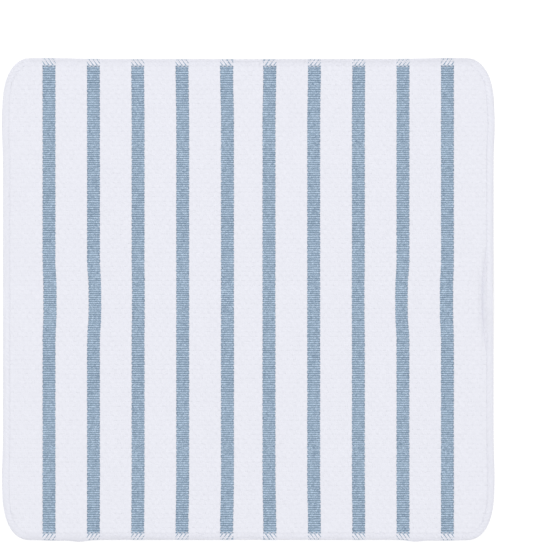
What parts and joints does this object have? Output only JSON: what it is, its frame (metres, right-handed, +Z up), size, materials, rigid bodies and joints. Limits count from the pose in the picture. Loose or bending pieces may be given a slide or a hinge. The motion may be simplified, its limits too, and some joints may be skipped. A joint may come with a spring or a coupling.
{
  "type": "striped dishcloth",
  "caption": "Flat square cotton dishcloth with rounded corners, white terry bands between narrow flat-woven blue stripes, and an overlocked edge.",
  "frame": {"origin": "middle of the flat underside, on the surface that the cloth lies on", "axes": "+Z up out of the upper face, +X across the stripes to the right of the picture, +Y along the stripes to its top"},
  "size_m": [0.3314, 0.3252, 0.003],
  "materials": {
    "white_cotton": "soft matt looped cotton",
    "blue_cotton": "matt ribbed flat weave",
    "white_thread": "matt spun sewing thread"
  },
  "bodies": {
    "root": {"dishcloth": "white_cotton"}
  },
  "joints": []
}
